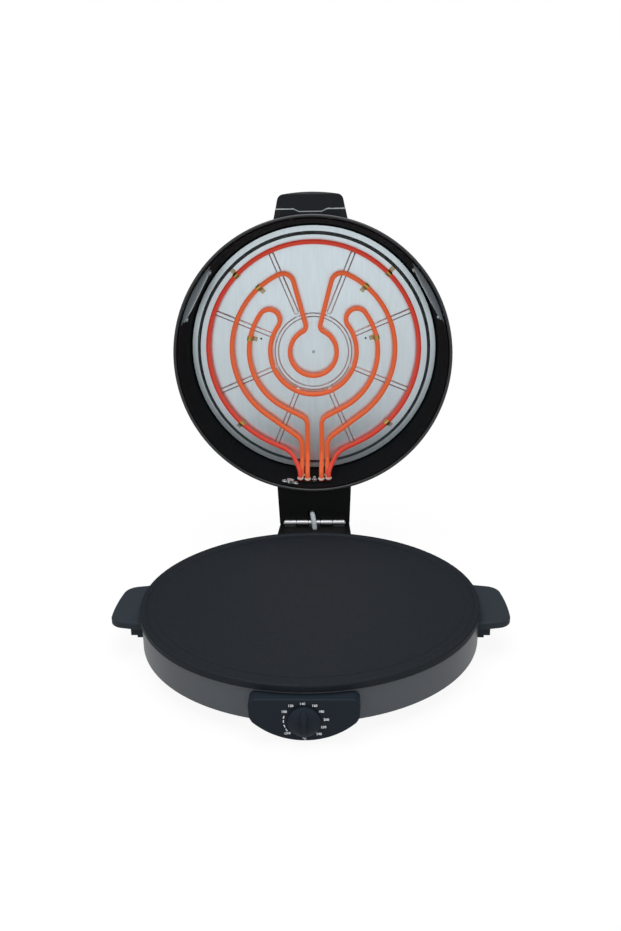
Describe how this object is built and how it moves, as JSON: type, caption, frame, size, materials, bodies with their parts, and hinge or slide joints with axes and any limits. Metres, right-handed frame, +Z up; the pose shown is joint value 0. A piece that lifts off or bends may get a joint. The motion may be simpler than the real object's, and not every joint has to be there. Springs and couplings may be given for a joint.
{
  "type": "electric roti maker",
  "caption": "Electric flatbread maker: round heated plate with side handles and a front thermostat knob, under a deep round lid on a rear hinge, with tubular heaters inside.",
  "frame": {"origin": "on the table, under the middle of the box round the appliance with its lid open", "axes": "+Z up; +Y from the control panel to the hinge; +X to the right hand of someone facing the controls"},
  "size_m": [0.472, 0.5526, 0.5234],
  "materials": {
    "coating": "satin non-stick coating",
    "heater_steel": "plain",
    "glowing_tube": "red-hot sheath",
    "zinc": "zinc plated",
    "shield": "mill",
    "housing_paint": "satin",
    "cover_paint": "satin",
    "rubber": "matte",
    "bakelite": "satin",
    "handle_bakelite": "satin",
    "lid_paint": "gloss",
    "liner_paint": "satin",
    "reflector": "bright",
    "frame_paint": "satin",
    "trim": "satin",
    "brass": "plain",
    "ceramic": "ceramic",
    "glass": "smoked",
    "sleeve": "glass-fibre sleeve",
    "copper_lead": "insulated",
    "steel": "plain"
  },
  "bodies": {
    "base": {"baking_plate": "coating", "base_hinge_leaf": "zinc", "base_housing": "housing_paint", "base_leaf_screws": "zinc", "base_wiring": "copper_lead", "bottom_cover": "cover_paint", "bottom_cover_screws": "zinc", "control_panel": "bakelite", "control_panel_screws": "zinc", "cord_gland": "rubber", "foot_screws": "zinc", "heat_shield": "shield", "hinge_housing": "handle_bakelite", "hinge_housing_screws": "zinc", "hinge_loom": "sleeve", "hinge_pin": "steel", "left_side_handle": "handle_bakelite", "loom_clamp": "bakelite", "lower_clamp_screws": "zinc", "lower_heater": "heater_steel", "lower_heater_clamps": "zinc", "plate_screws": "zinc", "plate_spacers": "zinc", "right_side_handle": "handle_bakelite", "rubber_feet": "rubber", "side_handle_screws": "zinc", "terminal_block": "ceramic", "thermostat_body": "ceramic", "thermostat_screws": "zinc", "thermostat_sensor": "brass"},
    "lid": {"cutout_screws": "zinc", "heater_insulators": "ceramic", "heater_tabs": "brass", "inner_heater": "glowing_tube", "lid_handle_base": "bakelite", "lid_handle_grip": "bakelite", "lid_handle_screws": "zinc", "lid_handle_trim": "trim", "lid_heater_clips": "brass", "lid_hinge_leaf": "zinc", "lid_leaf_screws": "zinc", "lid_liner": "liner_paint", "lid_neck": "bakelite", "lid_neck_screws": "zinc", "lid_shell": "lid_paint", "lid_terminal_plate": "liner_paint", "lid_thermal_cutout": "ceramic", "middle_heater": "glowing_tube", "neck_cover": "bakelite", "neck_cover_screws": "zinc", "outer_heater": "glowing_tube", "reflector": "reflector", "reflector_screws": "zinc", "reflector_spacer": "zinc", "terminal_plate_bolt": "zinc", "window_frames": "frame_paint", "window_panes": "glass", "window_screws": "zinc"},
    "knob": {"knob": "bakelite", "thermostat_shaft": "steel"}
  },
  "joints": [
    {"name": "lid_hinge", "type": "hinge", "parent": "base", "child": "lid", "pos_m": [0, 0.1881, 0.0582], "axis": [1, 0, 0], "range_deg": [0, 90], "deforming": ["hinge_loom"]},
    {"name": "knob_turn", "type": "hinge", "parent": "base", "child": "knob", "pos_m": [0, -0.2703, 0.0267], "axis": [0, 1, 0], "range_deg": [-131, 133]}
  ]
}
